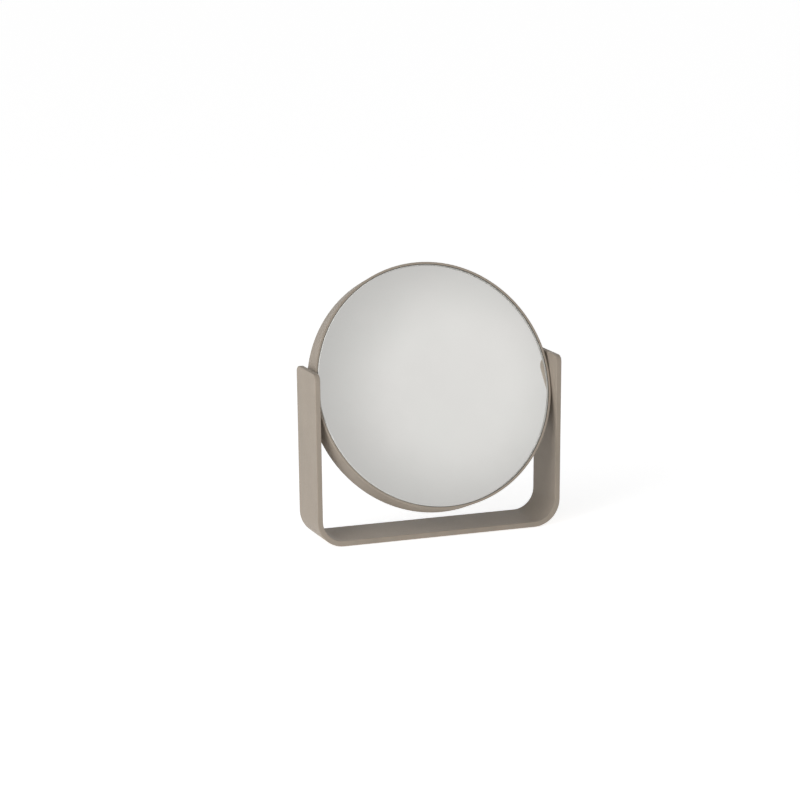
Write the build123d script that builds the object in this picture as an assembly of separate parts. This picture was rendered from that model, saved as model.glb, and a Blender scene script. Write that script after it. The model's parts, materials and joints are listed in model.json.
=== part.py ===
from build123d import *
import math
import os

# A round two-sided table mirror that turns on two side pivots in a bent flat-bar stand.
# Frame: X to the right, the flat mirror faces -Y and is tilted up, Z up, millimetres and degrees.
# The origin is under the middle of the stand, on the surface that the foot pads rest on.

# ---- Stand ----
stand_width = 191.5        # across the arms' outer faces, at the height of the pivots
stand_depth = 41.0         # width of the flat bar, front to back
bar_thickness = 4.0
bend_radius = 20.0         # outer radius of the two bottom bends
arm_splay = 0.5            # each arm leans outwards by this angle
arm_rise = 20.0            # arm top above the pivot axis
arm_corner_radius = 5.0
bar_edge_bevel = 0.5
tapped_hole_depth = 3.0    # blind hole for the pivot screw, from the arm's inner face

# ---- Foot pads ----
pad_radius = 4.5
pad_thickness = 0.8
pad_edge_bevel = 0.2
pad_spacing_x = 128.0
pad_spacing_y = 23.0

# ---- Mirror ring ----
ring_depth = 20.0
ring_wall = 1.7
ring_edge_bevel = 0.4
arm_gap = 0.45             # between the ring and an arm, at the pivot
base_clearance = 12.15     # between the turning ring and the stand's base
rest_tilt = 20.0           # the flat mirror faces this far above the horizontal

# ---- Mirror glasses ----
glass_thickness = 2.0
glass_arris = 0.7          # ground bevel on the seen edge of each glass
glass_back_arris = 0.35    # on the flat glass's hidden edge
glass_recess = 0.2         # glass below the ring's lip
glass_edge_gap = 0.4       # glass to the ring's wall
magnifier_radius = 620.0   # radius of curvature of the concave mirror, about five times enlarging

# ---- Foam tapes that hold the glasses ----
tape_thickness = 0.6
tape_edge_gap = 3.2        # from a glass's edge in to the tape
tape_width = 15.0

# ---- Moulded carriers ----
carrier_fit = 0.1          # carrier rim to the ring's wall
carrier_web = 1.5
carrier_rim_wall = 2.0
rib_thickness = 1.2
rib_count = 12             # of the front carrier
gusset_count = 6           # of the rear carrier
rib_clearance = 3.0        # ribs of the front carrier to the back of the concave glass
hub_radius = 12.0
vent_count = 6
vent_radius = 9.0
vent_circle_radius = 38.0
rear_carrier_depth = 10.0  # from the parting plane to the ring's lip
seat_width = 22.5          # of the rear carrier's conical seat, from the carrier's edge inwards
lug_thickness = 1.6        # of the rear carrier's six screw lugs

# ---- Carrier screws ----
screw_count = 6
screw_inset = 5.0          # from the seat's inner edge in to the screws
first_screw_angle = 90.0   # from the pivot axis
screw_radius = 1.1
screw_head_radius = 2.1
screw_head_height = 1.4
screw_length = 6.4
screw_tip_radius = 0.55
screw_tip_length = 1.1
screw_clearance = 0.2      # shank in its lug
thread_clearance = 0.04    # thread in its pilot hole
boss_radius = 3.2
driver_slot_length = 2.6
driver_slot_width = 0.6
driver_slot_depth = 0.6

# ---- Pivots ----
shoulder_radius = 2.0
pivot_thread_radius = 1.5
pivot_head_radius = 3.4
pivot_head_height = 2.2
hex_key_width = 2.5
hex_key_depth = 1.3
running_clearance = 0.05   # shoulder in bush, and along the axis where faces rub
bush_radius = 3.2
bush_flange_width = 8.4    # square, so that the saddle stops it from turning
bush_flange_thickness = 1.2
bush_corner_radius = 0.8
washer_hole_clearance = 0.12
friction_washer_radius = 5.0
friction_washer_thickness = 0.3
disc_spring_radius = 3.8
disc_spring_thickness = 0.35
disc_spring_height = 0.65
thrust_washer_radius = 3.8
thrust_washer_thickness = 0.5
saddle_clearance = 0.1     # flange in the saddle
saddle_wall = 2.0
saddle_end_gap = 0.75      # pivot screw head to the saddle's inner wall
key_slot_radius = 1.6      # lets a hex key reach the pivot screw

# ---- Sizes that follow ----
full_turn = 360.0
cut_overrun = 1.0          # cutting shapes run this far past the faces that they open
lean = math.tan(math.radians(arm_splay))
arm_thickness_x = bar_thickness / math.cos(math.radians(arm_splay))
arm_face = stand_width / 2 - arm_thickness_x          # arm's inner face at the pivot axis
ring_radius = arm_face - arm_gap
ring_inner_radius = ring_radius - ring_wall
sweep_radius = math.hypot(ring_radius, ring_depth / 2)
pivot_height = bar_thickness + base_clearance + sweep_radius   # above the stand's underside
arm_height = pivot_height + arm_rise
pivot_z = pad_thickness + pivot_height

lip = ring_depth / 2
glass_radius = ring_inner_radius - glass_edge_gap
glass_face = lip - glass_recess
front_glass_back = -glass_face + glass_thickness
front_web_face = front_glass_back + tape_thickness
front_web_back = front_web_face + carrier_web
carrier_radius = ring_inner_radius - carrier_fit
carrier_rim_inner = carrier_radius - carrier_rim_wall
dish_centre = glass_face + math.sqrt(magnifier_radius**2 - glass_radius**2)
tape_outer_radius = glass_radius - tape_edge_gap
tape_inner_radius = tape_outer_radius - tape_width
parting_plane = lip - rear_carrier_depth
seat_inner_radius = carrier_radius - seat_width
screw_circle_radius = seat_inner_radius - screw_inset
between_ribs = full_turn / rib_count / 2              # angle from a rib to the middle of its bay


def dish(radius, depth):
    """Axial place of the surface that lies depth behind the concave mirror's face."""
    return dish_centre - math.sqrt((magnifier_radius + depth) ** 2 - radius**2)


rib_top = dish(0, glass_thickness) - rib_clearance
seat_depth = glass_thickness + tape_thickness
lug_top = parting_plane + lug_thickness

# Places along the right pivot, from the arm inwards
washer_outer_face = arm_face - friction_washer_radius * lean - running_clearance / 2
bush_outer_end = washer_outer_face - friction_washer_thickness - running_clearance
flange_half = bush_flange_width / 2
flange_seat = math.sqrt(ring_inner_radius**2 - flange_half**2) - running_clearance
flange_back = flange_seat - bush_flange_thickness
spring_back = flange_back - disc_spring_height
thrust_face = spring_back - running_clearance
thrust_back = thrust_face - thrust_washer_thickness
pivot_head_face = thrust_back - running_clearance
pivot_head_end = pivot_head_face - pivot_head_height
shoulder_end = arm_face - shoulder_radius * lean
saddle_half = flange_half + saddle_clearance
saddle_pocket_end = pivot_head_end - saddle_end_gap
saddle_end = saddle_pocket_end - saddle_wall


# ---- Helpers ----
def outline(*corners):
    """Closed flat face through the corners."""
    return make_face(Polyline(*corners, close=True))


def turned(face):
    """Solid of revolution about the mirror's axis; the face is drawn as (radius, place along Y)."""
    return revolve(face, Axis.Y)


def turned_on_pivot(*corners):
    """Solid of revolution about the pivot axis; corners are (place along X, radius)."""
    return revolve(outline(*corners), Axis.X)


def rod_y(radius, start, end):
    """Round rod along Y, centred on the Y axis."""
    return Pos(0, (start + end) / 2, 0) * Rot(90, 0, 0) * Cylinder(radius, end - start)


def rod_x(radius, start, end):
    """Round rod along X, centred on the X axis."""
    return Pos((start + end) / 2, 0, 0) * Rot(0, 90, 0) * Cylinder(radius, end - start)


def block(x_range, y_range, z_range):
    """Box between three pairs of limits."""
    sizes = [high - low for low, high in (x_range, y_range, z_range)]
    middles = [(high + low) / 2 for low, high in (x_range, y_range, z_range)]
    return Pos(*middles) * Box(*sizes)


def around(shape, count, start_angle=0.0):
    """Copies of a shape, evenly spaced about the mirror's axis."""
    step = full_turn / count
    return [Rot(0, start_angle + step * i, 0) * shape for i in range(count)]


def on_circle(shape, radius, count, start_angle=0.0):
    """Copies of a shape on a circle about the mirror's axis."""
    return around(Pos(radius, 0, 0) * shape, count, start_angle)


def both_sides(shape):
    """A shape of the right pivot and its twin at the left one."""
    return [shape, shape.mirror(Plane.YZ)]


def in_mirror(shape):
    """Moves a shape of the upright mirror, drawn about the origin, to its tilted place."""
    return Pos(0, 0, pivot_z) * Rot(-rest_tilt, 0, 0) * shape


def at_pivot(shape):
    """Moves a shape drawn about the origin to the pivot axis."""
    return Pos(0, 0, pivot_z) * shape


# ---- Stand ----
def inside_bar_face(inset, top):
    """XZ region inside the bar's outer face moved inwards by inset, bends included."""
    inset_x = inset / math.cos(math.radians(arm_splay))
    foot_x = stand_width / 2 - (pivot_height - inset) * lean - inset_x
    top_x = stand_width / 2 + (top - pivot_height) * lean - inset_x
    region = outline((-top_x, top), (-foot_x, inset), (foot_x, inset), (top_x, top))
    corners = region.vertices().group_by(Axis.Y)[0]
    return fillet(corners, bend_radius - inset)


def make_stand():
    """Flat bar bent into a U, with rounded arm ends and blind tapped holes for the pivots."""
    section = inside_bar_face(0, arm_height) - inside_bar_face(bar_thickness, arm_height + cut_overrun)
    bar = extrude(Plane.XZ * section, stand_depth / 2, both=True)
    bar = fillet(bar.edges().filter_by(Axis.X).group_by(Axis.Z)[-1], arm_corner_radius)
    seams = bar.edges().filter_by(Axis.Y)
    top_seams = seams.group_by(Axis.Z)[-1]
    lower_seams = [e for e in seams if e not in top_seams]
    bar = chamfer([e for e in bar.edges() if e not in lower_seams], bar_edge_bevel)
    hole_radius = pivot_thread_radius + thread_clearance
    hole = rod_x(hole_radius, arm_face - cut_overrun, arm_face + tapped_hole_depth)
    for tapped_hole in both_sides(hole):
        bar -= Pos(0, 0, pivot_height) * tapped_hole
    return Pos(0, 0, pad_thickness) * bar


def make_foot_pads():
    """Four thin round pads under the base, near its corners."""
    pad = Pos(0, 0, pad_thickness / 2) * Cylinder(pad_radius, pad_thickness)
    pad = chamfer(pad.edges().group_by(Axis.Z)[0], pad_edge_bevel)
    x, y = pad_spacing_x / 2, pad_spacing_y / 2
    return {
        "foot_pad_front_left": Pos(-x, -y, 0) * pad,
        "foot_pad_front_right": Pos(x, -y, 0) * pad,
        "foot_pad_rear_left": Pos(-x, y, 0) * pad,
        "foot_pad_rear_right": Pos(x, y, 0) * pad,
    }


# ---- Pivots ----
def make_pivot_screw():
    """Shoulder screw: its thread is in the arm, its shoulder carries the bush."""
    screw = turned_on_pivot(
        (pivot_head_end, 0),
        (pivot_head_end, pivot_head_radius),
        (pivot_head_face, pivot_head_radius),
        (pivot_head_face, shoulder_radius),
        (shoulder_end, shoulder_radius),
        (shoulder_end, pivot_thread_radius),
        (arm_face + tapped_hole_depth - thread_clearance, pivot_thread_radius),
        (arm_face + tapped_hole_depth - thread_clearance, 0),
    )
    socket_face = Plane.YZ * RegularPolygon(hex_key_width / 2, 6, major_radius=False)
    socket = Pos(pivot_head_end, 0, 0) * extrude(socket_face, hex_key_depth)
    return screw - socket


def make_flat_washer(face, thickness, radius):
    """Flat washer on the shoulder, from face inwards."""
    bore = shoulder_radius + washer_hole_clearance
    return turned_on_pivot(
        (face - thickness, bore), (face - thickness, radius), (face, radius), (face, bore)
    )


def make_disc_spring():
    """Conical spring washer: its rim bears on the bush flange, its bore on the thrust washer."""
    bore = shoulder_radius + washer_hole_clearance
    cone = disc_spring_height - disc_spring_thickness
    return turned_on_pivot(
        (spring_back, bore),
        (spring_back + cone, disc_spring_radius),
        (flange_back, disc_spring_radius),
        (flange_back - cone, bore),
    )


def make_bush():
    """Flanged bush: the square flange lies in the carriers' saddle, the barrel in the ring's hole."""
    square = RectangleRounded(bush_flange_width, bush_flange_width, bush_corner_radius)
    flange = Pos(flange_back, 0, 0) * extrude(Plane.YZ * square, bush_flange_thickness)
    barrel = rod_x(bush_radius, flange_back, bush_outer_end)
    bore_radius = shoulder_radius + running_clearance
    bore = rod_x(bore_radius, flange_back - cut_overrun, bush_outer_end + cut_overrun)
    return flange + barrel - bore


# ---- Mirror ----
def make_ring():
    """Thin drum with softened lips and a hole for each bush."""
    middle = (ring_radius + ring_inner_radius) / 2
    section = Pos(middle, 0) * Rectangle(ring_wall, ring_depth)
    ring = turned(chamfer(section.vertices(), ring_edge_bevel))
    hole_radius = bush_radius + running_clearance
    hole = rod_x(hole_radius, ring_inner_radius - cut_overrun, ring_radius + cut_overrun)
    for bush_hole in both_sides(hole):
        ring -= bush_hole
    return ring


def make_flat_glass():
    """Flat disc with a ground bevel on both edges."""
    back = front_glass_back
    return turned(
        outline(
            (0, -glass_face),
            (glass_radius - glass_arris, -glass_face),
            (glass_radius, -glass_face + glass_arris),
            (glass_radius, back - glass_back_arris),
            (glass_radius - glass_back_arris, back),
            (0, back),
        )
    )


def make_flat_tape():
    """Flat ring of foam tape behind the flat glass."""
    return turned(
        outline(
            (tape_inner_radius, front_glass_back),
            (tape_outer_radius, front_glass_back),
            (tape_outer_radius, front_web_face),
            (tape_inner_radius, front_web_face),
        )
    )


def dish_ball(depth):
    """Ball whose near side is the surface that lies depth behind the concave mirror's face."""
    return Pos(0, dish_centre, 0) * Sphere(magnifier_radius + depth)


def make_magnifier():
    """Concave disc of even thickness, with a ground bevel on its front edge."""
    arris_side = dish(glass_radius, 0) - glass_arris
    blank = turned(
        outline(
            (0, -lip),
            (glass_radius, -lip),
            (glass_radius, arris_side),
            (glass_radius - lip, arris_side + lip),
            (0, arris_side + lip),
        )
    )
    return (blank & dish_ball(glass_thickness)) - dish_ball(0)


def make_magnifier_tape():
    """Ring of foam tape between the concave glass and its conical seat."""
    blank = turned(
        outline(
            (tape_inner_radius, seat_face(tape_inner_radius)),
            (tape_outer_radius, seat_face(tape_outer_radius)),
            (tape_outer_radius, lip),
            (tape_inner_radius, lip),
        )
    )
    return blank - dish_ball(glass_thickness)


def seat_face(radius):
    """Axial place of the rear carrier's conical seat, which is a chord of the dished surface."""
    inner = dish(seat_inner_radius, seat_depth)
    outer = dish(carrier_radius, seat_depth)
    share = (radius - seat_inner_radius) / (carrier_radius - seat_inner_radius)
    return inner + share * (outer - inner)


def make_front_carrier():
    """Moulded tray: web, rim, ribs, screw bosses and the front halves of the bush saddles."""
    tray = turned(
        outline(
            (0, front_web_face),
            (carrier_radius, front_web_face),
            (carrier_radius, parting_plane),
            (carrier_rim_inner, parting_plane),
            (carrier_rim_inner, front_web_back),
            (0, front_web_back),
        )
    )
    half = rib_thickness / 2
    rib_y = (front_web_back, rib_top)
    tray += around(block((hub_radius, carrier_rim_inner), rib_y, (-half, half)), rib_count)
    tray += rod_y(hub_radius + half, *rib_y) - rod_y(hub_radius - half, *rib_y)
    boss = rod_y(boss_radius, front_web_back, parting_plane)
    tray += on_circle(boss, screw_circle_radius, screw_count, first_screw_angle)
    tray += both_sides(saddle_block((front_web_back, parting_plane)))
    pilot_end = lug_top - screw_length - thread_clearance
    pilot = rod_y(screw_radius + thread_clearance, pilot_end, parting_plane)
    tray -= on_circle(pilot, screw_circle_radius, screw_count, first_screw_angle)
    vent = rod_y(vent_radius, front_web_face, front_web_back)
    tray -= on_circle(vent, vent_circle_radius, vent_count, between_ribs)
    return tray - pivot_pockets()


def make_rear_carrier():
    """Moulded channel ring: a conical seat on two rims, with gussets, six lugs and the saddles."""
    inner_wall = seat_inner_radius + carrier_rim_wall
    channel = turned(
        outline(
            (seat_inner_radius, parting_plane),
            (seat_inner_radius, seat_face(seat_inner_radius)),
            (carrier_radius, seat_face(carrier_radius)),
            (carrier_radius, parting_plane),
        )
    )
    hollow = turned(
        outline(
            (inner_wall, parting_plane),
            (inner_wall, seat_face(inner_wall) - carrier_web),
            (carrier_rim_inner, seat_face(carrier_rim_inner) - carrier_web),
            (carrier_rim_inner, parting_plane),
        )
    )
    half = rib_thickness / 2
    hollow_y = (parting_plane, lip)
    gusset = block((seat_inner_radius, carrier_radius), hollow_y, (-half, half))
    hollow -= around(gusset, gusset_count)
    hollow -= both_sides(saddle_block(hollow_y))
    channel -= hollow
    lug_y = (parting_plane, lug_top)
    lug = rod_y(boss_radius, *lug_y)
    lug += block((0, inner_wall - screw_circle_radius), lug_y, (-boss_radius, boss_radius))
    channel += on_circle(lug, screw_circle_radius, screw_count, first_screw_angle)
    shank_hole = rod_y(screw_radius + screw_clearance, *lug_y)
    channel -= on_circle(shank_hole, screw_circle_radius, screw_count, first_screw_angle)
    return channel - pivot_pockets()


def saddle_block(y_range):
    """Block that holds a bush's square flange against the ring."""
    side = saddle_half + saddle_wall
    return block((saddle_end, carrier_rim_inner), y_range, (-side, side))


def pivot_pockets():
    """Room for the square flanges and the turning hardware, and the slots for a hex key."""
    pocket = block(
        (saddle_pocket_end, ring_inner_radius),
        (-saddle_half, saddle_half),
        (-saddle_half, saddle_half),
    )
    key_slot = rod_x(key_slot_radius, seat_inner_radius - rib_thickness, saddle_pocket_end)
    return both_sides(pocket + key_slot)


def make_carrier_screw():
    """Cross-slotted screw that clamps a lug of the rear carrier to a boss of the front one."""
    top = lug_top + screw_head_height
    tip = lug_top - screw_length
    screw = turned(
        outline(
            (0, tip),
            (screw_tip_radius, tip),
            (screw_radius, tip + screw_tip_length),
            (screw_radius, lug_top),
            (screw_head_radius, lug_top),
            (screw_head_radius, top),
            (0, top),
        )
    )
    slot_y = (top - driver_slot_depth, top)
    reach = driver_slot_length / 2
    half = driver_slot_width / 2
    cross = block((-reach, reach), slot_y, (-half, half))
    cross += block((-half, half), slot_y, (-reach, reach))
    return screw - cross


# ---- Pieces by name ----
pieces = {"stand_frame": make_stand(), **make_foot_pads()}

pivot_hardware = {
    "pivot_screw": make_pivot_screw(),
    "friction_washer": make_flat_washer(
        washer_outer_face, friction_washer_thickness, friction_washer_radius
    ),
    "disc_spring": make_disc_spring(),
    "thrust_washer": make_flat_washer(thrust_face, thrust_washer_thickness, thrust_washer_radius),
}
for name, right in pivot_hardware.items():
    for side, shape in zip(("right", "left"), both_sides(right)):
        pieces[f"{name}_{side}"] = at_pivot(shape)

for side, shape in zip(("right", "left"), both_sides(make_bush())):
    pieces[f"pivot_bush_{side}"] = in_mirror(shape)

pieces["mirror_ring"] = in_mirror(make_ring())
pieces["flat_mirror_glass"] = in_mirror(make_flat_glass())
pieces["flat_glass_tape"] = in_mirror(make_flat_tape())
pieces["front_carrier"] = in_mirror(make_front_carrier())
pieces["rear_carrier"] = in_mirror(make_rear_carrier())
pieces["magnifying_glass_tape"] = in_mirror(make_magnifier_tape())
pieces["magnifying_mirror_glass"] = in_mirror(make_magnifier())

carrier_screws = on_circle(make_carrier_screw(), screw_circle_radius, screw_count, first_screw_angle)
for number, screw in enumerate(carrier_screws, start=1):
    pieces[f"carrier_screw_{number}"] = in_mirror(screw)

os.makedirs("parts", exist_ok=True)
for name, shape in pieces.items():
    export_step(shape, f"parts/{name}.step")
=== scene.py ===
import json
import math

import bmesh
import bpy
from bpy.props import FloatProperty, FloatVectorProperty, IntProperty, PointerProperty
from bpy.types import Operator, Panel, PropertyGroup
from mathutils import Matrix, Vector


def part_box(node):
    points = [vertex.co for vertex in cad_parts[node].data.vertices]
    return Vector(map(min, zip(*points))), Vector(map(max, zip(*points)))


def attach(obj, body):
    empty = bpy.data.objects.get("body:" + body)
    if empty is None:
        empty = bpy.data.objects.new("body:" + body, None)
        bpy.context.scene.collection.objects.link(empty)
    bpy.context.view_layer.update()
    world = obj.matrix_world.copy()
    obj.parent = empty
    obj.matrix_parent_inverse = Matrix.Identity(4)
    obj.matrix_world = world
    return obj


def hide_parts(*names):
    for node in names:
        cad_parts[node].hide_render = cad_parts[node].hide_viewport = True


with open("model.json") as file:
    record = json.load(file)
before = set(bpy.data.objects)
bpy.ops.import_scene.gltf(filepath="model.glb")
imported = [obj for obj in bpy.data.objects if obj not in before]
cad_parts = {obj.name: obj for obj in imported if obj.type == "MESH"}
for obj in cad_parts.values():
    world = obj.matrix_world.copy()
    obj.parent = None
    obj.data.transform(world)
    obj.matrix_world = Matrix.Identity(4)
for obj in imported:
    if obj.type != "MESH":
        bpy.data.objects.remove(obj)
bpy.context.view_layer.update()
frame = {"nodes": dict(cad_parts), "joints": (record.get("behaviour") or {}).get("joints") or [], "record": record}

bl_info = {
    "name": "Two-sided Table Mirror",
    "version": (1, 0, 0),
    "blender": (4, 5, 0),
    "location": "3D View > Sidebar > Table Mirror",
    "description": "Builds a round tilting table mirror in a bent flat-bar stand",
    "category": "Add Mesh",
}

# ---------------------------------------------------------------------------------------------
# Places that come from the frame (metres, Z up, the flat glass faces -Y and a little upwards)
# ---------------------------------------------------------------------------------------------
MM = 0.001
NEAR = 0.1 * MM  # points closer than this lie on the same level of a piece
TOUCHING = 0.01 * MM  # points closer than this lie on the same line or lip
FINER_FACETS = 0.08 * MM  # the drum has more facets than its CAD mesh, and stays in that mesh's box
STAND_BODY = "stand"
MIRROR_BODY = "mirror"

pivot = Vector(frame["joints"][0]["pos_m"])
stand_low, stand_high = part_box("stand_frame")
ring_low, ring_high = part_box("mirror_ring")
ring_radius = (ring_high.x - ring_low.x) / 2 - FINER_FACETS


def facing(node):
    """Unit normal of the largest flat face of a CAD node that faces the front."""
    faces = [f for f in frame["nodes"][node].data.polygons if f.normal.y < 0]
    return max(faces, key=lambda f: f.area).normal.copy()


glass_normal = facing("flat_mirror_glass")
tilt = math.atan2(glass_normal.z, -glass_normal.y)


# ---------------------------------------------------------------------------------------------
# Settings
# ---------------------------------------------------------------------------------------------
def length(name, description, default):
    return FloatProperty(
        name=name, description=description, default=default, unit="LENGTH", min=0.0
    )


def angle(name, description, degrees):
    return FloatProperty(
        name=name, description=description, default=math.radians(degrees), subtype="ANGLE"
    )


def colour(name, description, default):
    return FloatVectorProperty(
        name=name, description=description, default=default, subtype="COLOR", size=3, min=0, max=1
    )


def share(name, description, default, most=1.0):
    return FloatProperty(name=name, description=description, default=default, min=0.0, max=most)


def position(name, description, default):
    return FloatVectorProperty(
        name=name, description=description, default=default, subtype="TRANSLATION", unit="LENGTH"
    )


def whole(name, description, default, least):
    return IntProperty(name=name, description=description, default=default, min=least)


class StandSettings(PropertyGroup):
    """Sizes of the bent flat-bar stand and its foot pads"""

    bar_thickness: length("Bar Thickness", "Thickness of the flat bar", 4 * MM)
    bend_radius: length("Bend Radius", "Outer radius of the two bottom bends", 20 * MM)
    corner_radius: length("Corner Radius", "Radius of the arms' top corners", 5 * MM)
    edge_radius: length("Edge Radius", "Easing of the bar's long edges", 0.55 * MM)
    splay: angle("Splay", "Outward lean of each arm", 0.5)
    bend_steps: whole("Bend Steps", "Segments in each bend", 24, 4)
    tapped_radius: length("Tapped Radius", "Radius of each blind pivot hole", 1.54 * MM)
    tapped_depth: length("Tapped Depth", "Depth of each blind pivot hole", 3.1 * MM)
    pad_edge: length("Pad Edge", "Rounding of a foot pad's lower edge", 0.22 * MM)


class RingSettings(PropertyGroup):
    """Sizes of the round drum shell"""

    depth: length("Depth", "Depth of the drum, front to back", 20 * MM)
    wall: length("Wall", "Thickness of the drum's wall", 1.7 * MM)
    lip_radius: length("Lip Radius", "Rounding of the drum's lips", 0.4 * MM)
    bush_hole: length("Bush Hole", "Radius of the hole for each pivot bush", 3.25 * MM)
    segments: whole("Segments", "Facets round the drum", 286, 48)


class GlassSettings(PropertyGroup):
    """Sizes of the two mirror glasses"""

    radius: length("Radius", "Radius of each glass", 89.2 * MM)
    thickness: length("Thickness", "Thickness of each glass", 2 * MM)
    recess: length("Recess", "Glass below the drum's lip", 0.2 * MM)
    arris: length("Arris", "Width of the ground bevel on the seen edge", 0.4 * MM)
    curvature: length("Curvature", "Radius of curvature of the magnifying glass", 620 * MM)
    silver: length("Silver", "Thickness of the silvering and its paint", 0.04 * MM)


class FinishSettings(PropertyGroup):
    """Colours of the finishes"""

    coat: colour("Coat", "Powder coat of the stand and drum", (0.387, 0.33, 0.271))
    coat_shade: colour("Coat Shade", "Darker drifts in the powder coat", (0.344, 0.295, 0.241))
    coat_worn: colour("Coat Edge", "Powder coat where it thins on edges", (0.452, 0.395, 0.332))
    silver: colour("Silver", "Silvering behind the glass", (0.966, 0.945, 0.925))
    glass: colour("Glass", "Faint green of the mirror glass", (0.975, 0.992, 0.98))
    backing: colour("Backing", "Paint over the silvering", (0.09, 0.12, 0.13))
    plastic: colour("Plastic", "Moulded carriers", (0.035, 0.035, 0.037))
    # Painted shade of the drum's inner wall: a dark colour that stands in for the shade in the recess round the
    # glass
    inner_wall_shade: colour("Inner Wall Shade", "Inside of the drum's wall", (0.06, 0.053, 0.043))
    foam: colour("Foam", "Foam tape", (0.72, 0.72, 0.69))
    steel: colour("Steel", "Zinc-plated screws and springs", (0.62, 0.62, 0.6))
    acetal: colour("Acetal", "Natural plastic of bushes and washers", (0.8, 0.79, 0.73))
    rubber: colour("Rubber", "Foot pads", (0.05, 0.048, 0.046))


class StageSettings(PropertyGroup):
    """Camera, light and floor"""

    camera_place: position(
        "Camera Place", "Where the camera stands", (-0.758529, -1.945174, 0.54155)
    )
    camera_yaw: angle("Camera Yaw", "Turn of the view from +Y towards +X", 20.699)
    camera_pitch: angle("Camera Pitch", "Tilt of the view above the horizon", -11.964)
    camera_roll: angle("Camera Roll", "Turn of the camera about its own view", -0.356)
    lens: FloatProperty(name="Lens", description="Focal length", default=131.30, unit="CAMERA")
    front_left_panel: share("Front Left Panel", "Level of the tent's front left side", 1.25, 4.0)
    front_top_panel: share("Front Top Panel", "Level of the tent's front, high up", 0.4, 4.0)
    right_panel: share("Right Panel", "Level of the tent's right side", 0.8, 4.0)
    rear_right_panel: share("Rear Right Panel", "Level of the tent's rear right side", 0.35, 4.0)
    rear_panel: share("Rear Panel", "Level of the tent's back", 0.6, 4.0)
    panel_focus: FloatProperty(
        name="Panel Focus", description="How narrow the panels are", default=5.0
    )
    key_power: FloatProperty(
        name="Key Power", description="Power of the softbox on the left", default=6.1, unit="POWER"
    )
    key_size: length("Key Size", "Side of the softbox", 0.8)
    key_place: position("Key Place", "Where the softbox stands", (-0.95, -0.45, 0.5))
    gradient_dark: share("Gradient Dark", "Level of the front's dark side, in gloss", 0.22)
    gradient_light: share("Gradient Light", "Level of the front's light side, in gloss", 0.65)
    card_shift: length("Card Shift", "Where the pale card's middle shows in the glass", 18 * MM)
    card_inner: angle("Card Inner", "Angle at which the pale card starts to fade", 1.0)
    card_outer: angle("Card Outer", "Angle at which the pale card has faded", 2.9)
    card_level: share("Card Level", "How much brighter the pale card is", 0.22)
    background_gloss: share("Background Gloss", "Level of the background, in gloss", 0.6)
    floor: colour("Floor", "Paper sweep under the object", (0.8, 0.8, 0.8))
    floor_glow: share("Floor Glow", "Lift of the paper's white, but for diffuse rays", 0.72)
    floor_bounce: share("Floor Bounce", "Lift of the paper's white for diffuse rays", 0.32)


# ---------------------------------------------------------------------------------------------
# Modelling helpers
# ---------------------------------------------------------------------------------------------
def settings():
    return bpy.context.scene.table_mirror


def select_only(piece):
    bpy.ops.object.select_all(action="DESELECT")
    piece.select_set(True)
    bpy.context.view_layer.objects.active = piece


def named(name):
    """Names the primitive that was just added."""
    piece = bpy.context.active_object
    piece.name = name
    piece.data.name = name
    return piece


def add_cylinder(name, radius, depth, segments, place=(0, 0, 0), turn=(0, 0, 0)):
    """Adds a capped cylinder with its place and turn in its mesh."""
    bpy.ops.object.select_all(action="DESELECT")
    bpy.ops.mesh.primitive_cylinder_add(
        vertices=segments, radius=radius, depth=depth, location=place, rotation=turn
    )
    cylinder = named(name)
    put_place_in_mesh(cylinder)
    return cylinder


def edit(piece, kind="FACE"):
    """Enters edit mode with nothing selected and returns the mesh that is being edited."""
    select_only(piece)
    bpy.ops.object.mode_set(mode="EDIT")
    bpy.ops.mesh.select_mode(type=kind)
    bpy.ops.mesh.select_all(action="DESELECT")
    return bmesh.from_edit_mesh(piece.data)


def leave_edit():
    bpy.ops.object.mode_set(mode="OBJECT")


def pick(piece, kind, wanted):
    """Selects only the vertices, edges or faces that pass the test."""
    bpy.ops.mesh.select_mode(type=kind)
    bpy.ops.mesh.select_all(action="DESELECT")
    mesh = bmesh.from_edit_mesh(piece.data)
    parts = {"VERT": mesh.verts, "EDGE": mesh.edges, "FACE": mesh.faces}[kind]
    chosen = [p for p in parts if wanted(p)]
    if not chosen:
        raise RuntimeError(f"{piece.name}: nothing was found to shape")
    for part in chosen:
        part.select_set(True)
    mesh.select_flush_mode()
    bmesh.update_edit_mesh(piece.data)


def middle(part):
    """Middle of an edge or a face."""
    return sum((v.co for v in part.verts), Vector()) / len(part.verts)


def from_axis(point):
    """Distance of a point from the Y axis, on which round pieces are modelled."""
    return math.hypot(point.x, point.z)


def apply_modifier(piece, kind, **values):
    select_only(piece)
    modifier = piece.modifiers.new(kind.title(), kind)
    for key, value in values.items():
        setattr(modifier, key, value)
    bpy.ops.object.modifier_apply(modifier=modifier.name)


def tidy_mesh(piece):
    """Merges doubled points and turns all faces outwards."""
    edit(piece)
    bpy.ops.mesh.select_all(action="SELECT")
    bpy.ops.mesh.remove_doubles(threshold=0.002 * MM)
    bpy.ops.mesh.normals_make_consistent(inside=False)
    leave_edit()


def shade(piece, degrees=32):
    """Smooth shading that keeps flat faces flat and sharp edges sharp."""
    select_only(piece)
    bpy.ops.object.shade_smooth_by_angle(angle=math.radians(degrees))
    apply_modifier(piece, "WEIGHTED_NORMAL", keep_sharp=True)


def put_place_in_mesh(piece):
    select_only(piece)
    bpy.ops.object.transform_apply(location=True, rotation=True, scale=True)


def set_in_drum(piece):
    """Tilts a piece that was modelled upright about the origin, and lifts it to the pivots."""
    piece.rotation_euler = (-tilt, 0, 0)
    piece.location = pivot
    put_place_in_mesh(piece)


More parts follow.
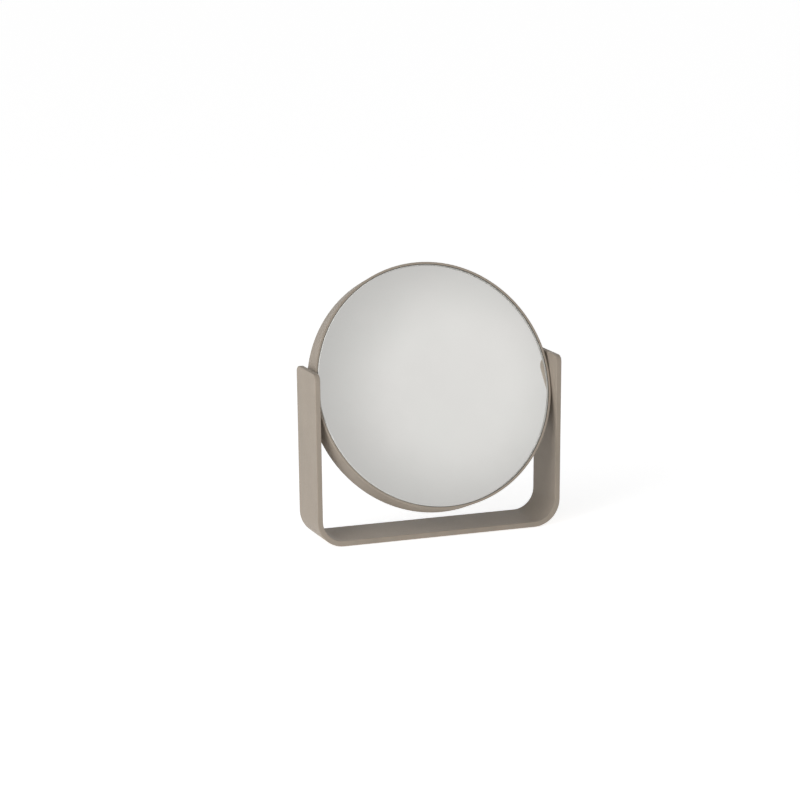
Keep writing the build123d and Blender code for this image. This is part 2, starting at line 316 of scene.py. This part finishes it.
def drill(piece, radius, ends, place):
    """Cuts a round hole along X between the two ends, at the height and depth of the place."""
    bit = add_cylinder(
        "drill", radius, ends[1] - ends[0], 64, ((ends[0] + ends[1]) / 2, place[1], place[2]),
        (0, math.pi / 2, 0),
    )
    apply_modifier(piece, "BOOLEAN", object=bit, operation="DIFFERENCE", solver="EXACT")
    bpy.data.objects.remove(bit)


def paint_faces(piece, material, wanted):
    """Adds a second material and gives it to the faces that pass the test."""
    piece.data.materials.append(material)
    index = len(piece.data.materials) - 1
    for face in piece.data.polygons:
        if wanted(face):
            face.material_index = index


# ---------------------------------------------------------------------------------------------
# Materials
# ---------------------------------------------------------------------------------------------
class Nodes:
    """Short way to write the node tree of a material or of the world."""

    def __init__(self, owner):
        owner.use_nodes = True
        self.tree = owner.node_tree
        self.tree.nodes.clear()

    def add(self, kind, inputs=None, **values):
        """Adds a node; an input is a plain value, or the socket that it is linked to."""
        node = self.tree.nodes.new(kind)
        for key, value in values.items():
            setattr(node, key, value)
        for key, value in (inputs or {}).items():
            if isinstance(value, bpy.types.NodeSocket):
                self.tree.links.new(value, node.inputs[key])
            else:
                node.inputs[key].default_value = value
        return node

    def math(self, operation, first, second=0.0):
        return self.add("ShaderNodeMath", {0: first, 1: second}, operation=operation).outputs[0]

    def dot(self, first, second):
        inputs = {0: first, 1: second}
        return self.add("ShaderNodeVectorMath", inputs, operation="DOT_PRODUCT").outputs["Value"]

    def spread(self, value, low, high, start=0.3, end=0.7, curve="LINEAR"):
        """Maps the range from start to end, at first that of a noise, to low to high."""
        inputs = {"Value": value, "From Min": start, "From Max": end, "To Min": low, "To Max": high}
        return self.add("ShaderNodeMapRange", inputs, interpolation_type=curve).outputs["Result"]


class FinishNodes(Nodes):
    """Short way to write the material of a finish."""

    def __init__(self, name):
        self.material = bpy.data.materials.new(name)
        super().__init__(self.material)
        self.output = self.add("ShaderNodeOutputMaterial")
        self.place = self.add("ShaderNodeTexCoord").outputs["Object"]

    def noise(self, scale, detail=4.0, roughness=0.55, stretch=None):
        place = self.place
        if stretch:
            place = self.add("ShaderNodeMapping", {"Vector": place, "Scale": stretch}).outputs[0]
        inputs = {"Vector": place, "Scale": scale, "Detail": detail, "Roughness": roughness}
        return self.add("ShaderNodeTexNoise", inputs).outputs["Fac"]

    def mix(self, part, first, second):
        """Mixes two colours, each a socket or three numbers."""
        inputs = {0: part}
        for socket, tone in ((6, first), (7, second)):
            inputs[socket] = tone if isinstance(tone, bpy.types.NodeSocket) else (*tone, 1.0)
        return self.add("ShaderNodeMix", inputs, data_type="RGBA").outputs[2]

    def bump(self, height, distance, strength=1.0, normal=None):
        inputs = {"Height": height, "Distance": distance, "Strength": strength}
        if normal:
            inputs["Normal"] = normal
        return self.add("ShaderNodeBump", inputs).outputs["Normal"]

    def edges(self, radius):
        """1 on outer and inner edges, 0 on flat and gently curved surfaces."""
        rounded = self.add("ShaderNodeBevel", {"Radius": radius}, samples=6).outputs["Normal"]
        true = self.add("ShaderNodeNewGeometry").outputs["Normal"]
        return self.spread(self.dot(rounded, true), 1.0, 0.0, 0.82, 0.995)

    def finish(self, shader):
        self.tree.links.new(shader, self.output.inputs["Surface"])
        return self.material

    def surface(self, inputs):
        return self.finish(self.add("ShaderNodeBsdfPrincipled", inputs).outputs[0])


def powder_coat():
    """Matt taupe powder coat: fine orange peel, soft drifts of tone, thinner on the edges."""
    n = FinishNodes("taupe_powder_coat")
    finish = settings().finish
    drifts = n.spread(n.noise(26.0, 3.0), 0.0, 1.0)
    grain = n.noise(2600.0, 3.0, 0.6)
    peel = n.noise(750.0, 4.0, 0.5)
    tone = n.mix(drifts, finish.coat_shade, finish.coat)
    speckled = n.mix(n.spread(grain, 0.0, 0.22, 0.45, 0.8), tone, finish.coat_worn)
    thin = n.math("MULTIPLY", n.edges(0.5 * MM), n.spread(n.noise(160.0), 0.25, 0.75))
    base = n.mix(n.math("MULTIPLY", thin, 0.45), speckled, finish.coat_worn)
    rough = n.math("SUBTRACT", n.spread(peel, 0.47, 0.62), n.math("MULTIPLY", thin, 0.1))
    coarse = n.bump(peel, 0.028 * MM)
    fine = n.bump(grain, 0.012 * MM, 0.8, coarse)
    return n.surface({
        "Base Color": base,
        "Roughness": rough,
        "Normal": fine,
        "Specular IOR Level": 0.22,
        "Sheen Weight": 0.02,
        "Sheen Roughness": 0.5,
    })


def clear_glass():
    """Float glass: faint green, with a wiped haze that only shows in its gloss."""
    n = FinishNodes("mirror_glass_clear")
    wiped = n.noise(38.0, 6.0, 0.6, (1.0, 1.0, 0.35))
    smudges = n.spread(wiped, 0.0, 0.012, 0.5, 0.8)
    tint = n.mix(n.spread(n.noise(18.0), 0.0, 1.0), settings().finish.glass, (0.99, 0.998, 0.99))
    return n.surface({
        "Base Color": tint,
        "Roughness": smudges,
        "IOR": 1.52,
        "Transmission Weight": 1.0,
    })


def ground_glass():
    """Ground edge of the glass: fine grinding lines that scatter the light."""
    n = FinishNodes("mirror_glass_ground")
    lines = n.noise(5200.0, 3.0, 0.7, (1.0, 0.2, 1.0))
    rough = n.spread(lines, 0.12, 0.3)
    normal = n.bump(lines, 0.006 * MM)
    return n.surface({
        "Base Color": n.mix(n.spread(lines, 0.0, 1.0), (0.9, 0.9, 0.86), (0.97, 0.97, 0.94)),
        "Roughness": rough,
        "Normal": normal,
        "IOR": 1.52,
        "Transmission Weight": 0.12,
    })


def silvering():
    """Silver on the back of the glass, clean but for the faintest unevenness."""
    n = FinishNodes("mirror_silver")
    cloud = n.noise(30.0, 3.0)
    dull = (0.946, 0.925, 0.905)
    return n.surface({
        "Base Color": n.mix(n.spread(cloud, 0.0, 1.0), settings().finish.silver, dull),
        "Metallic": 1.0,
        "Roughness": n.spread(cloud, 0.008, 0.02),
        "Normal": n.bump(n.noise(9.0, 1.0), 0.002 * MM, 0.5),
    })


def backing_paint():
    """Brushed-on protective paint over the silvering."""
    n = FinishNodes("mirror_backing_paint")
    strokes = n.noise(240.0, 4.0, 0.6, (0.15, 1.0, 1.0))
    base = settings().finish.backing
    return n.surface({
        "Base Color": n.mix(n.spread(strokes, 0.0, 0.5), base, (0.15, 0.19, 0.2)),
        "Roughness": n.spread(strokes, 0.5, 0.7),
        "Normal": n.bump(strokes, 0.02 * MM),
    })


def inner_wall_painted_shade():
    """Painted shade: a dark colour on the drum's inner wall that stands in for the shade in the recess round the
    glass.
    """
    n = FinishNodes("drum_inner_wall_painted_shade")
    mottle = n.noise(160.0, 5.0, 0.6)
    # The dark base colour is painted shade, mottled by the noise
    base = n.mix(n.spread(mottle, 0.0, 0.7), settings().finish.inner_wall_shade, (0.075, 0.066, 0.054))
    return n.surface({
        "Base Color": base,
        "Roughness": n.spread(mottle, 0.6, 0.75),
        "Normal": n.bump(mottle, 0.02 * MM),
    })


def moulded_plastic():
    """Black moulded plastic with a spark-eroded grain and faint flow marks."""
    n = FinishNodes("carrier_moulded_plastic")
    grain = n.noise(1900.0, 2.0, 0.6)
    flow = n.noise(35.0, 5.0, 0.6, (1.0, 1.0, 0.3))
    base = n.mix(n.spread(flow, 0.0, 0.6), settings().finish.plastic, (0.06, 0.06, 0.063))
    return n.surface({
        "Base Color": base,
        "Roughness": n.spread(grain, 0.42, 0.6),
        "Normal": n.bump(grain, 0.02 * MM, 0.7),
    })


def foam():
    """White closed-cell foam tape."""
    n = FinishNodes("foam_tape_cells")
    inputs = {"Vector": n.place, "Scale": 3200.0, "Randomness": 1.0}
    cells = n.add("ShaderNodeTexVoronoi", inputs).outputs["Distance"]
    base = n.mix(n.spread(cells, 0.0, 0.4, 0.1, 0.7), settings().finish.foam, (0.5, 0.5, 0.47))
    return n.surface({
        "Base Color": base,
        "Roughness": n.spread(cells, 0.7, 0.9, 0.0, 0.8),
        "Normal": n.bump(cells, 0.06 * MM, 0.8),
        "Subsurface Weight": 0.1,
    })


def plated_steel():
    """Zinc-plated steel with turning marks and a little dulling."""
    n = FinishNodes("zinc_plated_steel")
    marks = n.noise(2400.0, 3.0, 0.6, (1.0, 0.25, 0.25))
    dull = n.noise(420.0, 3.0)
    base = n.mix(n.spread(dull, 0.0, 0.7), settings().finish.steel, (0.47, 0.47, 0.45))
    return n.surface({
        "Base Color": base,
        "Metallic": 1.0,
        "Roughness": n.spread(dull, 0.24, 0.44),
        "Normal": n.bump(marks, 0.008 * MM),
    })


def acetal():
    """Natural acetal: waxy, slightly see-through at the edges."""
    n = FinishNodes("natural_acetal")
    cloud = n.noise(520.0, 3.0)
    return n.surface({
        "Base Color": n.mix(n.spread(cloud, 0.0, 0.5), settings().finish.acetal, (0.7, 0.68, 0.6)),
        "Roughness": n.spread(cloud, 0.3, 0.42),
        "Normal": n.bump(n.noise(1500.0, 2.0), 0.008 * MM),
        "Subsurface Weight": 0.15,
    })


def pad_rubber():
    """Dark matt rubber with a dusting of grey on the rubbed edge."""
    n = FinishNodes("foot_pad_rubber")
    grain = n.noise(2200.0, 3.0, 0.65)
    rubbed = n.math("MULTIPLY", n.edges(0.25 * MM), 0.35)
    base = n.mix(n.spread(grain, 0.0, 0.4), settings().finish.rubber, (0.085, 0.082, 0.08))
    return n.surface({
        "Base Color": n.mix(rubbed, base, (0.16, 0.155, 0.15)),
        "Roughness": n.spread(grain, 0.62, 0.82),
        "Normal": n.bump(grain, 0.02 * MM, 0.8),
    })


def shared(make):
    """One material for each finish, made when it is first asked for."""
    if make.__name__ not in made_materials:
        made_materials[make.__name__] = make()
    return made_materials[make.__name__]


made_materials = {}


# ---------------------------------------------------------------------------------------------
# Stand
# ---------------------------------------------------------------------------------------------
def half_stand():
    """Right half of the bent bar: a section that is drawn along the base, bent and drawn up."""
    s = settings().stand
    depth = stand_high.y - stand_low.y
    sine, cosine = math.sin(s.splay), math.cos(s.splay)
    outer_foot = stand_high.x - (stand_high.z - stand_low.z) * sine / cosine
    bend_x = outer_foot - s.bend_radius * (1 - sine) / cosine
    bend_centre = Vector((bend_x, 0, stand_low.z + s.bend_radius))
    section_z = stand_low.z + s.bar_thickness / 2

    bpy.ops.object.select_all(action="DESELECT")
    bpy.ops.mesh.primitive_plane_add(
        size=s.bar_thickness, location=(0, 0, section_z), rotation=(0, math.pi / 2, 0)
    )
    piece = named("stand_bar")
    put_place_in_mesh(piece)
    edit(piece)
    bpy.ops.mesh.select_all(action="SELECT")
    bpy.ops.transform.resize(
        value=(1, depth / s.bar_thickness, 1), center_override=(0, 0, section_z)
    )
    bpy.ops.mesh.extrude_region_move(TRANSFORM_OT_translate={"value": (bend_x, 0, 0)})
    bpy.ops.mesh.spin(
        steps=s.bend_steps, angle=math.pi / 2 - s.splay, center=bend_centre, axis=(0, 1, 0)
    )
    rise = stand_high.z - bend_centre.z
    lift = Vector((sine / cosine, 0, 1)) * rise
    bpy.ops.mesh.extrude_region_move(TRANSFORM_OT_translate={"value": lift})
    bpy.ops.transform.resize(value=(1, 1, 0), center_override=(bend_x, 0, stand_high.z))
    pick(piece, "FACE", lambda f: middle(f).x < MM and abs(f.normal.x) > 0.9)
    bpy.ops.mesh.delete(type="FACE")
    leave_edit()
    return piece


def make_stand():
    s = settings().stand
    piece = half_stand()
    edit(piece)

    def top_corner(edge):
        a, b = (v.co for v in edge.verts)
        at_top = min(a.z, b.z) > stand_high.z - NEAR
        return at_top and abs(a.y - b.y) < NEAR

    pick(piece, "EDGE", top_corner)
    bpy.ops.mesh.bevel(offset=s.corner_radius, segments=10, affect="EDGES")
    leave_edit()
    apply_modifier(piece, "MIRROR", use_axis=(True, False, False), merge_threshold=TOUCHING)
    tidy_mesh(piece)
    apply_modifier(
        piece, "BEVEL", width=s.edge_radius, segments=4, limit_method="ANGLE",
        angle_limit=math.radians(50),
    )
    inner_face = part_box("friction_washer_right")[1].x
    reach = inner_face + s.tapped_depth
    drill(piece, s.tapped_radius, (-reach, reach), pivot)
    shade(piece)
    piece.data.materials.append(shared(powder_coat))
    return piece


def make_foot_pads():
    """One pad is modelled, then copied to each place that the frame gives."""
    s = settings().stand
    names = [n for n in sorted(frame["nodes"]) if n.startswith("foot_pad_")]
    low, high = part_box(names[0])
    radius, thickness = (high.x - low.x) / 2, high.z - low.z
    pattern = add_cylinder("pad_pattern", radius, thickness, 96)
    edit(pattern)
    pick(pattern, "EDGE", lambda e: all(v.co.z < 0 for v in e.verts))
    bpy.ops.mesh.bevel(offset=s.pad_edge, segments=3, affect="EDGES")
    pick(pattern, "FACE", lambda f: f.normal.z < -0.9 and len(f.verts) > 4)
    bpy.ops.mesh.inset(thickness=0.35 * radius)
    leave_edit()
    shade(pattern)
    pattern.data.materials.append(shared(pad_rubber))
    for name in names:
        low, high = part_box(name)
        pad = pattern.copy()
        pad.data = pattern.data.copy()
        pad.name = pad.data.name = name + "_moulded"
        bpy.context.collection.objects.link(pad)
        pad.location = (low + high) / 2
        put_place_in_mesh(pad)
        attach(pad, STAND_BODY)
        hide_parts(name)
    bpy.data.objects.remove(pattern)


# ---------------------------------------------------------------------------------------------
# Drum
# ---------------------------------------------------------------------------------------------
FACE_FRONT = (math.pi / 2, 0, 0)


def make_ring():
    """Drum shell: the ends of a cylinder are inset, opened and bridged, then the lips rounded."""
    s = settings().ring
    ring = add_cylinder("drum_shell", ring_radius, s.depth, s.segments, turn=FACE_FRONT)
    edit(ring)
    pick(ring, "FACE", lambda f: abs(f.normal.y) > 0.9)
    bpy.ops.mesh.inset(thickness=s.wall)
    pick(ring, "FACE", lambda f: abs(f.normal.y) > 0.9 and len(f.verts) > 4)
    bpy.ops.mesh.delete(type="ONLY_FACE")
    pick(ring, "EDGE", lambda e: e.is_boundary)
    bpy.ops.mesh.bridge_edge_loops()
    lip = s.depth / 2 - TOUCHING

    def on_lip(edge):
        round_edge = abs(from_axis(edge.verts[0].co) - from_axis(edge.verts[1].co)) < TOUCHING
        return round_edge and all(abs(v.co.y) > lip for v in edge.verts)

    pick(ring, "EDGE", on_lip)
    bpy.ops.mesh.bevel(offset=s.lip_radius, segments=4, affect="EDGES")
    leave_edit()
    tidy_mesh(ring)
    drill(ring, s.bush_hole, (-1.5 * ring_radius, 1.5 * ring_radius), (0, 0, 0))
    shade(ring)
    ring.data.materials.append(shared(powder_coat))

    def faces_axis(face):
        outwards = Vector((face.center.x, 0, face.center.z)).normalized()
        return face.normal.dot(outwards) < -0.95

    # Painted shade: the inner wall's faces, which face the axis, get the dark painted-shade colour
    paint_faces(ring, shared(inner_wall_painted_shade), faces_axis)
    set_in_drum(ring)
    return ring


def glass_face_y():
    """Place of the flat glass's face in the upright drum."""
    return -settings().ring.depth / 2 + settings().glass.recess


def make_flat_glass():
    g = settings().glass
    place = (0, glass_face_y() + g.thickness / 2, 0)
    segments = settings().ring.segments
    glass = add_cylinder("flat_glass_pane", g.radius, g.thickness, segments, place, FACE_FRONT)
    edit(glass)
    front = glass_face_y() + NEAR
    pick(glass, "EDGE", lambda e: all(v.co.y < front for v in e.verts))
    bpy.ops.mesh.bevel(offset=g.arris, segments=1, affect="EDGES")
    back = glass_face_y() + g.thickness - NEAR
    pick(glass, "EDGE", lambda e: all(v.co.y > back for v in e.verts))
    bpy.ops.mesh.bevel(offset=g.arris / 2, segments=1, affect="EDGES")
    leave_edit()
    tidy_mesh(glass)
    shade(glass, 20)
    glass.data.materials.append(shared(clear_glass))
    paint_faces(glass, shared(ground_glass), lambda f: abs(f.normal.y) < 0.95)
    set_in_drum(glass)
    return glass


def make_flat_silver():
    g = settings().glass
    front = glass_face_y() + g.thickness - 1.5 * g.silver
    place = (0, front + g.silver / 2, 0)
    radius = g.radius - g.arris / 2
    silver = add_cylinder(
        "flat_glass_silver", radius, g.silver, settings().ring.segments, place, FACE_FRONT
    )
    edit(silver)
    pick(silver, "EDGE", lambda e: all(v.co.y > front + g.silver / 2 for v in e.verts))
    bpy.ops.mesh.bevel(offset=g.silver / 4, segments=2, affect="EDGES")
    leave_edit()
    tidy_mesh(silver)
    shade(silver)
    silver.data.materials.append(shared(silvering))
    paint_faces(silver, shared(backing_paint), lambda f: f.normal.y > -0.5)
    set_in_drum(silver)
    return silver


def dish_centre():
    """Centre of the magnifying glass's curvature in the upright drum."""
    g = settings().glass
    return Vector((0, -glass_face_y() + math.sqrt(g.curvature**2 - g.radius**2), 0))


def spun_dish(name, start_depth, rim_radius, thickness):
    """Dished disc: a point is spun into an arc, the arc about the mirror's axis, then thickened."""
    centre = dish_centre()
    radius = settings().glass.curvature + start_depth
    rim_angle = math.asin(rim_radius / radius)
    bpy.ops.object.select_all(action="DESELECT")
    bpy.ops.mesh.primitive_plane_add(size=MM)
    dish = named(name)
    edit(dish, "VERT")
    bpy.ops.mesh.select_all(action="SELECT")
    bpy.ops.mesh.merge(type="CENTER")
    bpy.ops.transform.translate(value=centre - Vector((0, radius, 0)))
    bpy.ops.mesh.spin(steps=28, angle=rim_angle, center=centre, axis=(0, 0, 1))
    bpy.ops.mesh.select_all(action="SELECT")
    bpy.ops.mesh.spin(
        steps=settings().ring.segments, angle=2 * math.pi, center=(0, 0, 0), axis=(0, 1, 0)
    )
    leave_edit()
    tidy_mesh(dish)
    edit(dish)
    bpy.ops.mesh.select_all(action="SELECT")
    if sum(f.normal.y for f in bmesh.from_edit_mesh(dish.data).faces) < 0:
        bpy.ops.mesh.flip_normals()
    leave_edit()
    apply_modifier(dish, "SOLIDIFY", thickness=thickness, offset=-1.0, use_even_offset=True)
    return dish


def make_magnifying_glass():
    g = settings().glass
    glass = spun_dish("magnifying_glass_pane", 0.0, g.radius, g.thickness)
    edit(glass)
    centre = dish_centre()
    half_way = g.curvature + 0.5 * g.thickness

    def on_rim(vert):
        return from_axis(vert.co) > g.radius - NEAR

    def on_front_rim(edge):
        return all(on_rim(v) and (v.co - centre).length < half_way for v in edge.verts)

    def on_back_rim(vert):
        return on_rim(vert) and (vert.co - centre).length > half_way

    pick(glass, "VERT", on_back_rim)
    squeeze = g.curvature / (g.curvature + g.thickness)
    bpy.ops.transform.resize(value=(squeeze, 1, squeeze), center_override=(0, 0, 0))
    pick(glass, "EDGE", on_front_rim)
    bpy.ops.mesh.bevel(offset=g.arris, segments=1, affect="EDGES")
    leave_edit()
    shade(glass, 20)
    glass.data.materials.append(shared(clear_glass))
    rim = g.radius - g.arris - 0.02 * MM
    paint_faces(
        glass, shared(ground_glass), lambda f: from_axis(f.center) > rim and abs(f.normal.y) < 0.95
    )
    set_in_drum(glass)
    return glass


def make_magnifying_silver():
    g = settings().glass
    silver = spun_dish(
        "magnifying_glass_silver", g.thickness - 1.5 * g.silver, g.radius - g.arris / 2, g.silver
    )
    shade(silver)
    silver.data.materials.append(shared(silvering))
    paint_faces(silver, shared(backing_paint), lambda f: f.normal.y < 0.5)
    set_in_drum(silver)
    return silver


# ---------------------------------------------------------------------------------------------
# Stage
# ---------------------------------------------------------------------------------------------
FLOOR_SIDE = 14.0
PAPER_FIBRE = (0.77, 0.77, 0.77)


def make_floor():
    """Paper sweep, whose white is lifted by a glow; the object's shadow falls on what is left."""
    s = settings().stage
    bpy.ops.object.select_all(action="DESELECT")
    bpy.ops.mesh.primitive_grid_add(x_subdivisions=8, y_subdivisions=8, size=FLOOR_SIDE)
    floor = named("paper_sweep")
    n = FinishNodes("pale_paper")
    fibre = n.noise(60.0, 4.0)
    paper = n.mix(n.spread(fibre, 0.0, 0.15), s.floor, PAPER_FIBRE)
    diffuse = n.add("ShaderNodeBsdfDiffuse", {"Color": paper}).outputs[0]
    in_diffuse = n.add("ShaderNodeLightPath").outputs["Is Diffuse Ray"]
    glow = n.spread(in_diffuse, s.floor_glow, s.floor_bounce, 0.0, 1.0)
    light = n.add("ShaderNodeEmission", {"Strength": glow}).outputs[0]
    both = n.add("ShaderNodeAddShader", {0: diffuse, 1: light}).outputs[0]
    floor.data.materials.append(n.finish(both))


# Middle of each side panel of the tent: turn from the front towards +X, and height (degrees)
PANEL_PLACES = {
    "front_left_panel": (-45, 15),
    "front_top_panel": (0, 50),
    "right_panel": (90, 15),
    "rear_right_panel": (135, 15),
    "rear_panel": (190, 0),
}


# The tent's front, as gloss and glass see it: which way it lies, and which way it gets lighter
FRONT = Vector((0, -1, 0.3)).normalized()
LIGHTER = Vector((0.94, -0.34, 0.1)).normalized()


def make_tent():
    """Light tent: white to the camera, soft panels round the object, a pale card in the glass."""
    s = settings().stage
    world = bpy.data.worlds.new("light_tent")
    bpy.context.scene.world = world
    n = Nodes(world)
    towards = n.add("ShaderNodeTexCoord").outputs["Generated"]

    def panel(turn, height, level):
        turn, height = math.radians(turn), math.radians(height)
        flat = math.cos(height)
        axis = Vector((math.sin(turn) * flat, -math.cos(turn) * flat, math.sin(height)))
        facing_it = n.math("MAXIMUM", n.dot(towards, axis))
        return n.math("MULTIPLY", n.math("POWER", facing_it, s.panel_focus), level)

    def blend(part, first, second):
        inputs = {0: part, 2: first, 3: second}
        return n.add("ShaderNodeMix", inputs, data_type="FLOAT").outputs[0]

    light = 0.0
    for name, (turn, height) in PANEL_PLACES.items():
        light = n.math("ADD", panel(turn, height, getattr(s, name)), light)

    lighter = n.dot(towards, LIGHTER)
    broad = n.spread(lighter, s.gradient_dark, s.gradient_light, 0.5, 1.0, "SMOOTHSTEP")
    in_front = n.spread(n.dot(towards, FRONT), 0.0, 1.0, -0.2, 0.6, "SMOOTHSTEP")
    view = (pivot + Vector((s.card_shift, 0, 0)) - Vector(s.camera_place)).normalized()
    off_centre = n.math("ARCCOSINE", n.dot(towards, view.reflect(glass_normal)))
    card = n.spread(off_centre, s.card_level, 0.0, s.card_inner, s.card_outer, "SMOOTHSTEP")
    front = n.math("ADD", broad, card)
    reflected = n.math("ADD", blend(in_front, s.background_gloss, front), light)

    path = n.add("ShaderNodeLightPath").outputs
    in_gloss = n.math("MAXIMUM", path["Is Glossy Ray"], path["Is Transmission Ray"])
    level = blend(path["Is Camera Ray"], blend(in_gloss, light, reflected), 1.0)
    background = n.add("ShaderNodeBackground", {"Color": (1, 1, 1, 1), "Strength": level})
    output = n.add("ShaderNodeOutputWorld")
    n.tree.links.new(background.outputs[0], output.inputs["Surface"])


def make_key_light():
    s = settings().stage
    lamp = bpy.data.lights.new("key_softbox", "AREA")
    lamp.shape = "SQUARE"
    lamp.size = s.key_size
    lamp.energy = s.key_power
    key = bpy.data.objects.new("key_softbox", lamp)
    bpy.context.collection.objects.link(key)
    key.location = s.key_place
    key.rotation_euler = (Vector(s.key_place) - pivot).to_track_quat("Z", "Y").to_euler()


def make_camera():
    s = settings().stage
    yaw, pitch = s.camera_yaw, s.camera_pitch
    flat = math.cos(pitch)
    ahead = Vector((math.sin(yaw) * flat, math.cos(yaw) * flat, math.sin(pitch)))
    right = Vector((math.cos(yaw), -math.sin(yaw), 0))
    up = right.cross(ahead)
    turned_right = right * math.cos(s.camera_roll) + up * math.sin(s.camera_roll)
    turned_up = up * math.cos(s.camera_roll) - right * math.sin(s.camera_roll)
    data = bpy.data.cameras.new("camera")
    data.lens = s.lens
    camera = bpy.data.objects.new("camera", data)
    bpy.context.collection.objects.link(camera)
    camera.location = s.camera_place
    camera.rotation_euler = Matrix((turned_right, turned_up, -ahead)).transposed().to_euler()
    bpy.context.scene.camera = camera


# ---------------------------------------------------------------------------------------------
# Operators
# ---------------------------------------------------------------------------------------------
class TABLEMIRROR_OT_stage(Operator):
    """Make the floor, the light and the camera"""

    bl_idname = "table_mirror.stage"
    bl_label = "Stage"

    def execute(self, context):
        context.scene.view_settings.view_transform = "Standard"
        make_camera()
        make_tent()
        make_key_light()
        make_floor()
        return {"FINISHED"}


class TABLEMIRROR_OT_stand(Operator):
    """Bend the flat bar into the stand"""

    bl_idname = "table_mirror.stand"
    bl_label = "Stand"

    def execute(self, context):
        stand = make_stand()
        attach(stand, STAND_BODY)
        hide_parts("stand_frame")
        return {"FINISHED"}


class TABLEMIRROR_OT_foot_pads(Operator):
    """Put the four foot pads under the stand"""

    bl_idname = "table_mirror.foot_pads"
    bl_label = "Foot Pads"

    def execute(self, context):
        make_foot_pads()
        return {"FINISHED"}


class TABLEMIRROR_OT_drum(Operator):
    """Make the round drum shell"""

    bl_idname = "table_mirror.drum"
    bl_label = "Drum Shell"

    def execute(self, context):
        ring = make_ring()
        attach(ring, MIRROR_BODY)
        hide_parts("mirror_ring")
        return {"FINISHED"}


class TABLEMIRROR_OT_flat_glass(Operator):
    """Make the flat glass and its silvering"""

    bl_idname = "table_mirror.flat_glass"
    bl_label = "Flat Glass"

    def execute(self, context):
        for piece in (make_flat_glass(), make_flat_silver()):
            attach(piece, MIRROR_BODY)
            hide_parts("flat_mirror_glass")
        return {"FINISHED"}


class TABLEMIRROR_OT_magnifying_glass(Operator):
    """Make the dished magnifying glass and its silvering"""

    bl_idname = "table_mirror.magnifying_glass"
    bl_label = "Magnifying Glass"

    def execute(self, context):
        for piece in (make_magnifying_glass(), make_magnifying_silver()):
            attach(piece, MIRROR_BODY)
            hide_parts("magnifying_mirror_glass")
        return {"FINISHED"}


class TABLEMIRROR_OT_inner_parts(Operator):
    """Finish the carriers, tapes, bushes, washers and screws"""

    bl_idname = "table_mirror.inner_parts"
    bl_label = "Inner Parts"

    def execute(self, context):
        finishes = {
            "carrier_plastic": moulded_plastic,
            "foam_tape": foam,
            "hardware_steel": plated_steel,
            "bush_plastic": acetal,
        }
        for part in frame["record"]["subparts"]:
            make = finishes.get(part["material_slot"])
            if make is None:
                continue
            node = frame["nodes"][part["node"]]
            node.data.materials.clear()
            node.data.materials.append(shared(make))
        return {"FINISHED"}


OPERATORS = (
    TABLEMIRROR_OT_stage,
    TABLEMIRROR_OT_stand,
    TABLEMIRROR_OT_foot_pads,
    TABLEMIRROR_OT_drum,
    TABLEMIRROR_OT_flat_glass,
    TABLEMIRROR_OT_magnifying_glass,
    TABLEMIRROR_OT_inner_parts,
)


class TableMirrorSettings(PropertyGroup):
    """All settings of the table mirror"""

    stand: PointerProperty(type=StandSettings, name="Stand", description="Sizes of the stand")
    ring: PointerProperty(type=RingSettings, name="Drum", description="Sizes of the drum shell")
    glass: PointerProperty(type=GlassSettings, name="Glass", description="Sizes of the glasses")
    finish: PointerProperty(type=FinishSettings, name="Finish", description="Colours")
    stage: PointerProperty(type=StageSettings, name="Stage", description="Camera, light and floor")


class TABLEMIRROR_PT_sidebar(Panel):
    """Settings and steps of the table mirror"""

    bl_label = "Table Mirror"
    bl_idname = "TABLEMIRROR_PT_sidebar"
    bl_space_type = "VIEW_3D"
    bl_region_type = "UI"
    bl_category = "Table Mirror"

    def draw(self, context):
        everything = context.scene.table_mirror
        for name in everything.__annotations__:
            group = getattr(everything, name)
            box = self.layout.box()
            for key in group.__annotations__:
                box.prop(group, key)
        for step in OPERATORS:
            self.layout.operator(step.bl_idname)


SETTINGS = (
    StandSettings,
    RingSettings,
    GlassSettings,
    FinishSettings,
    StageSettings,
    TableMirrorSettings,
)


def register():
    for cls in (*SETTINGS, *OPERATORS, TABLEMIRROR_PT_sidebar):
        bpy.utils.register_class(cls)
    bpy.types.Scene.table_mirror = PointerProperty(type=TableMirrorSettings)


def unregister():
    del bpy.types.Scene.table_mirror
    for cls in reversed((*SETTINGS, *OPERATORS, TABLEMIRROR_PT_sidebar)):
        bpy.utils.unregister_class(cls)


def main():
    register()
    for step in OPERATORS:
        group, name = step.bl_idname.split(".")
        getattr(getattr(bpy.ops, group), name)()


if __name__ == "__main__":
    main()
